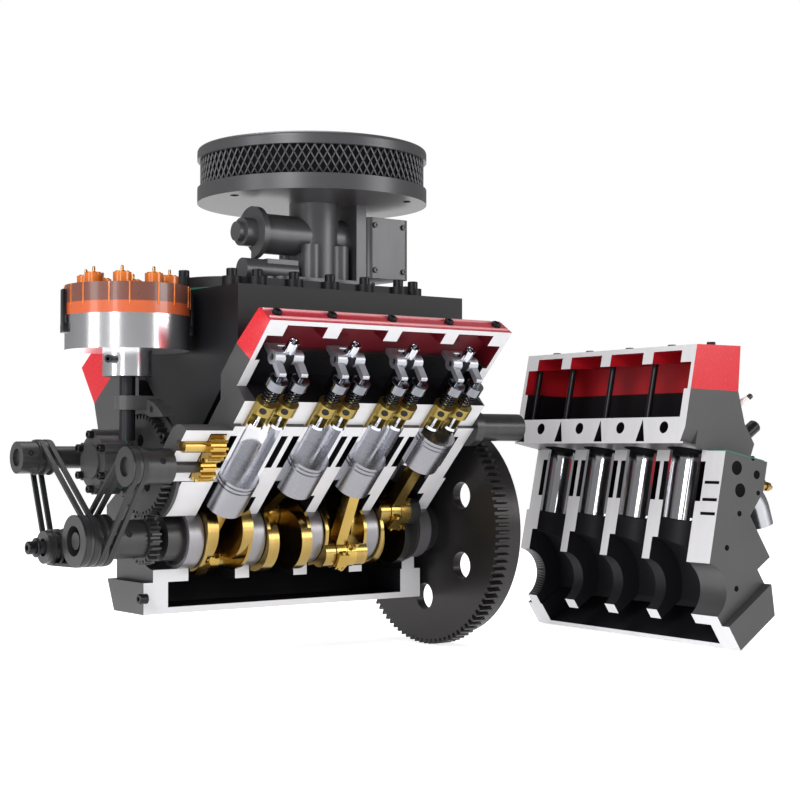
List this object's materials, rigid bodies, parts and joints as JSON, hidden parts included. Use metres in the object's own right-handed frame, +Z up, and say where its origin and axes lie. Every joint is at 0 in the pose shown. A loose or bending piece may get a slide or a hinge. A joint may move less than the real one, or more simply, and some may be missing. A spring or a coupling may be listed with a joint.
{
  "type": "four stroke engine model",
  "caption": "Cutaway desk model of a V8 four stroke engine with turning crank, working pistons and valve gear, and the cut-off half standing beside it.",
  "frame": {"origin": "middle of the four stand screws, on the underside of the oil pan", "axes": "+X along the crank towards the flywheel, +Z up"},
  "size_m": [0.3766, 0.2264, 0.2572],
  "materials": {
    "cast_black": "satin",
    "cast_grey": "satin",
    "red_enamel": "gloss",
    "polished_steel": "polished",
    "piston_alloy": "satin",
    "brass": "polished",
    "black_steel": "satin",
    "rubber": "matt",
    "amber_plastic": "gloss",
    "carb_alloy": "satin"
  },
  "bodies": {
    "engine": {"accessory_carriers": "black_steel", "air_cleaner_band": "black_steel", "air_cleaner_base": "cast_grey", "air_cleaner_lid": "cast_grey", "carburetor": "carb_alloy", "crankcase": "cast_grey", "cylinder_heads": "cast_grey", "cylinder_liners": "polished_steel", "distributor_body": "piston_alloy", "distributor_cap": "amber_plastic", "drive_belts": "rubber", "exhaust_elbows": "polished_steel", "intake_manifold": "cast_black", "main_bearings": "polished_steel", "oil_pan": "cast_grey", "oil_pump_housing": "cast_grey", "removed_block": "cast_grey", "removed_cover": "red_enamel", "removed_head": "cast_grey", "rocker_covers": "red_enamel", "rocker_stands": "black_steel", "starter_motor": "black_steel", "timing_plate": "cast_grey", "valve_cages": "brass", "valve_springs": "black_steel", "water_pump": "cast_grey"},
    "crank": {"crankshaft": "brass", "nose_drive": "black_steel", "flywheel": "black_steel"},
    "cam": {"camshaft": "black_steel"},
    "oil_pump_drive": {"oil_pump_drive": "brass"},
    "oil_pump_gear": {"oil_pump_gear": "brass"},
    "generator_pulley": {"generator_pulley": "black_steel"},
    "idler_pulley": {"idler_pulley": "black_steel"},
    "distributor_rotor": {"distributor_rotor": "black_steel"},
    "throttle": {"throttle_quadrant": "carb_alloy"},
    "near_rod_1": {"near_rod_1": "brass"},
    "near_piston_1": {"near_piston_1": "piston_alloy"},
    "near_rod_2": {"near_rod_2": "brass"},
    "near_piston_2": {"near_piston_2": "piston_alloy"},
    "near_rod_3": {"near_rod_3": "brass"},
    "near_piston_3": {"near_piston_3": "piston_alloy"},
    "near_rod_4": {"near_rod_4": "brass"},
    "near_piston_4": {"near_piston_4": "piston_alloy"},
    "far_rod_1": {"far_rod_1": "brass"},
    "far_piston_1": {"far_piston_1": "piston_alloy"},
    "far_rod_2": {"far_rod_2": "brass"},
    "far_piston_2": {"far_piston_2": "piston_alloy"},
    "far_rod_3": {"far_rod_3": "brass"},
    "far_piston_3": {"far_piston_3": "piston_alloy"},
    "far_rod_4": {"far_rod_4": "brass"},
    "far_piston_4": {"far_piston_4": "piston_alloy"},
    "rocker_1": {"rocker_1": "polished_steel"},
    "valve_pair_1": {"valve_pair_1": "polished_steel"},
    "rocker_2": {"rocker_2": "polished_steel"},
    "valve_pair_2": {"valve_pair_2": "polished_steel"},
    "rocker_3": {"rocker_3": "polished_steel"},
    "valve_pair_3": {"valve_pair_3": "polished_steel"},
    "rocker_4": {"rocker_4": "polished_steel"},
    "valve_pair_4": {"valve_pair_4": "polished_steel"}
  },
  "joints": [
    {"name": "crank_turn", "type": "hinge", "parent": "engine", "child": "crank", "pos_m": [0, -0.012, 0.036], "axis": [1, 0, 0], "range_deg": [0, 30]},
    {"name": "cam_turn", "type": "hinge", "parent": "engine", "child": "cam", "pos_m": [0, -0.012, 0.0705], "axis": [1, 0, 0], "range_deg": [-15.03, 0]},
    {"name": "oil_pump_drive_turn", "type": "hinge", "parent": "engine", "child": "oil_pump_drive", "pos_m": [0, -0.0463, 0.07029], "axis": [1, 0, 0], "range_deg": [0, 42.25]},
    {"name": "oil_pump_gear_turn", "type": "hinge", "parent": "engine", "child": "oil_pump_gear", "pos_m": [0, -0.05549, 0.07949], "axis": [1, 0, 0], "range_deg": [-42.25, 0]},
    {"name": "generator_turn", "type": "hinge", "parent": "engine", "child": "generator_pulley", "pos_m": [0, 0.031, 0.074], "axis": [1, 0, 0], "range_deg": [0, 45.31]},
    {"name": "idler_turn", "type": "hinge", "parent": "engine", "child": "idler_pulley", "pos_m": [0, 0.014, 0.032], "axis": [1, 0, 0], "range_deg": [0, 45.31]},
    {"name": "distributor_turn", "type": "hinge", "parent": "engine", "child": "distributor_rotor", "pos_m": [-0.097, -0.012, 0.036], "axis": [0, 0, 1], "range_deg": [0, 15.03]},
    {"name": "throttle_turn", "type": "hinge", "parent": "engine", "child": "throttle", "pos_m": [-0.026, -0.012, 0.185], "axis": [1, 0, 0], "range_deg": [0, 75]},
    {"name": "near_rod_1_swing", "type": "hinge", "parent": "crank", "child": "near_rod_1", "pos_m": [-0.0542, -0.0021, 0.0261], "axis": [1, 0, 0], "range_deg": [-21.48, 0]},
    {"name": "near_piston_1_travel", "type": "slide", "parent": "engine", "child": "near_piston_1", "axis": [0, -0.7071, 0.7071], "range_m": [0, 0.00135]},
    {"name": "near_rod_2_swing", "type": "hinge", "parent": "crank", "child": "near_rod_2", "pos_m": [-0.0202, -0.0021, 0.0459], "axis": [1, 0, 0], "range_deg": [-32.45, 0]},
    {"name": "near_piston_2_travel", "type": "slide", "parent": "engine", "child": "near_piston_2", "axis": [0, -0.7071, 0.7071], "range_m": [0, 0.00756]},
    {"name": "near_rod_3_swing", "type": "hinge", "parent": "crank", "child": "near_rod_3", "pos_m": [0.0138, -0.0219, 0.0261], "axis": [1, 0, 0], "range_deg": [-27.67, 0]},
    {"name": "near_piston_3_travel", "type": "slide", "parent": "engine", "child": "near_piston_3", "axis": [0, -0.7071, 0.7071], "range_m": [-0.00647, 0]},
    {"name": "near_rod_4_swing", "type": "hinge", "parent": "crank", "child": "near_rod_4", "pos_m": [0.0478, -0.0219, 0.0459], "axis": [1, 0, 0], "range_deg": [-38.64, 0]},
    {"name": "near_piston_4_travel", "type": "slide", "parent": "engine", "child": "near_piston_4", "axis": [0, -0.7071, 0.7071], "range_m": [-0.00241, 0]},
    {"name": "far_rod_1_swing", "type": "hinge", "parent": "crank", "child": "far_rod_1", "pos_m": [-0.0478, -0.0021, 0.0261], "axis": [1, 0, 0], "range_deg": [-32.45, 0]},
    {"name": "far_piston_1_travel", "type": "slide", "parent": "engine", "child": "far_piston_1", "axis": [0, 0.7071, 0.7071], "range_m": [0, 0.00756]},
    {"name": "far_rod_2_swing", "type": "hinge", "parent": "crank", "child": "far_rod_2", "pos_m": [-0.0138, -0.0021, 0.0459], "axis": [1, 0, 0], "range_deg": [-38.64, 0]},
    {"name": "far_piston_2_travel", "type": "slide", "parent": "engine", "child": "far_piston_2", "axis": [0, 0.7071, 0.7071], "range_m": [-0.00241, 0]},
    {"name": "far_rod_3_swing", "type": "hinge", "parent": "crank", "child": "far_rod_3", "pos_m": [0.0202, -0.0219, 0.0261], "axis": [1, 0, 0], "range_deg": [-21.48, 0]},
    {"name": "far_piston_3_travel", "type": "slide", "parent": "engine", "child": "far_piston_3", "axis": [0, 0.7071, 0.7071], "range_m": [0, 0.00135]},
    {"name": "far_rod_4_swing", "type": "hinge", "parent": "crank", "child": "far_rod_4", "pos_m": [0.0542, -0.0219, 0.0459], "axis": [1, 0, 0], "range_deg": [-27.67, 0]},
    {"name": "far_piston_4_travel", "type": "slide", "parent": "engine", "child": "far_piston_4", "axis": [0, 0.7071, 0.7071], "range_m": [-0.00647, 0]},
    {"name": "rocker_1_rock", "type": "hinge", "parent": "engine", "child": "rocker_1", "pos_m": [-0.0542, -0.082, 0.11944], "axis": [1, 0, 0], "range_deg": [0, 12]},
    {"name": "valve_pair_1_lift", "type": "slide", "parent": "engine", "child": "valve_pair_1", "axis": [0, -0.7071, 0.7071], "range_m": [-0.00199, 0]},
    {"name": "rocker_2_rock", "type": "hinge", "parent": "engine", "child": "rocker_2", "pos_m": [-0.0202, -0.082, 0.11944], "axis": [1, 0, 0], "range_deg": [0, 12]},
    {"name": "valve_pair_2_lift", "type": "slide", "parent": "engine", "child": "valve_pair_2", "axis": [0, -0.7071, 0.7071], "range_m": [-0.00199, 0]},
    {"name": "rocker_3_rock", "type": "hinge", "parent": "engine", "child": "rocker_3", "pos_m": [0.0138, -0.082, 0.11944], "axis": [1, 0, 0], "range_deg": [0, 12]},
    {"name": "valve_pair_3_lift", "type": "slide", "parent": "engine", "child": "valve_pair_3", "axis": [0, -0.7071, 0.7071], "range_m": [-0.00199, 0]},
    {"name": "rocker_4_rock", "type": "hinge", "parent": "engine", "child": "rocker_4", "pos_m": [0.0478, -0.082, 0.11944], "axis": [1, 0, 0], "range_deg": [0, 12]},
    {"name": "valve_pair_4_lift", "type": "slide", "parent": "engine", "child": "valve_pair_4", "axis": [0, -0.7071, 0.7071], "range_m": [-0.00199, 0]}
  ],
  "couplings": [
    {"joint": "cam_turn", "follows": "crank_turn", "ratio": -0.5},
    {"joint": "oil_pump_drive_turn", "follows": "crank_turn", "ratio": 1.4054},
    {"joint": "oil_pump_gear_turn", "follows": "crank_turn", "ratio": -1.4054},
    {"joint": "generator_turn", "follows": "crank_turn", "ratio": 1.5072},
    {"joint": "idler_turn", "follows": "crank_turn", "ratio": 1.5072},
    {"joint": "distributor_turn", "follows": "crank_turn", "ratio": 0.5},
    {"joint": "near_rod_1_swing", "follows": "crank_turn", "ratio": -0.71449},
    {"joint": "near_piston_1_travel", "follows": "crank_turn", "m_per_rad": 0.0025811},
    {"joint": "near_rod_2_swing", "follows": "crank_turn", "ratio": -1.0794},
    {"joint": "near_piston_2_travel", "follows": "crank_turn", "m_per_rad": 0.014406},
    {"joint": "near_rod_3_swing", "follows": "crank_turn", "ratio": -0.92065},
    {"joint": "near_piston_3_travel", "follows": "crank_turn", "m_per_rad": -0.012332},
    {"joint": "near_rod_4_swing", "follows": "crank_turn", "ratio": -1.2855},
    {"joint": "near_piston_4_travel", "follows": "crank_turn", "m_per_rad": -0.0045834},
    {"joint": "far_rod_1_swing", "follows": "crank_turn", "ratio": -1.0794},
    {"joint": "far_piston_1_travel", "follows": "crank_turn", "m_per_rad": 0.014406},
    {"joint": "far_rod_2_swing", "follows": "crank_turn", "ratio": -1.2855},
    {"joint": "far_piston_2_travel", "follows": "crank_turn", "m_per_rad": -0.0045834},
    {"joint": "far_rod_3_swing", "follows": "crank_turn", "ratio": -0.71449},
    {"joint": "far_piston_3_travel", "follows": "crank_turn", "m_per_rad": 0.0025811},
    {"joint": "far_rod_4_swing", "follows": "crank_turn", "ratio": -0.92065},
    {"joint": "far_piston_4_travel", "follows": "crank_turn", "m_per_rad": -0.012332},
    {"joint": "valve_pair_1_lift", "follows": "rocker_1_rock", "m_per_rad": -0.0095},
    {"joint": "valve_pair_2_lift", "follows": "rocker_2_rock", "m_per_rad": -0.0095},
    {"joint": "valve_pair_3_lift", "follows": "rocker_3_rock", "m_per_rad": -0.0095},
    {"joint": "valve_pair_4_lift", "follows": "rocker_4_rock", "m_per_rad": -0.0095}
  ]
}
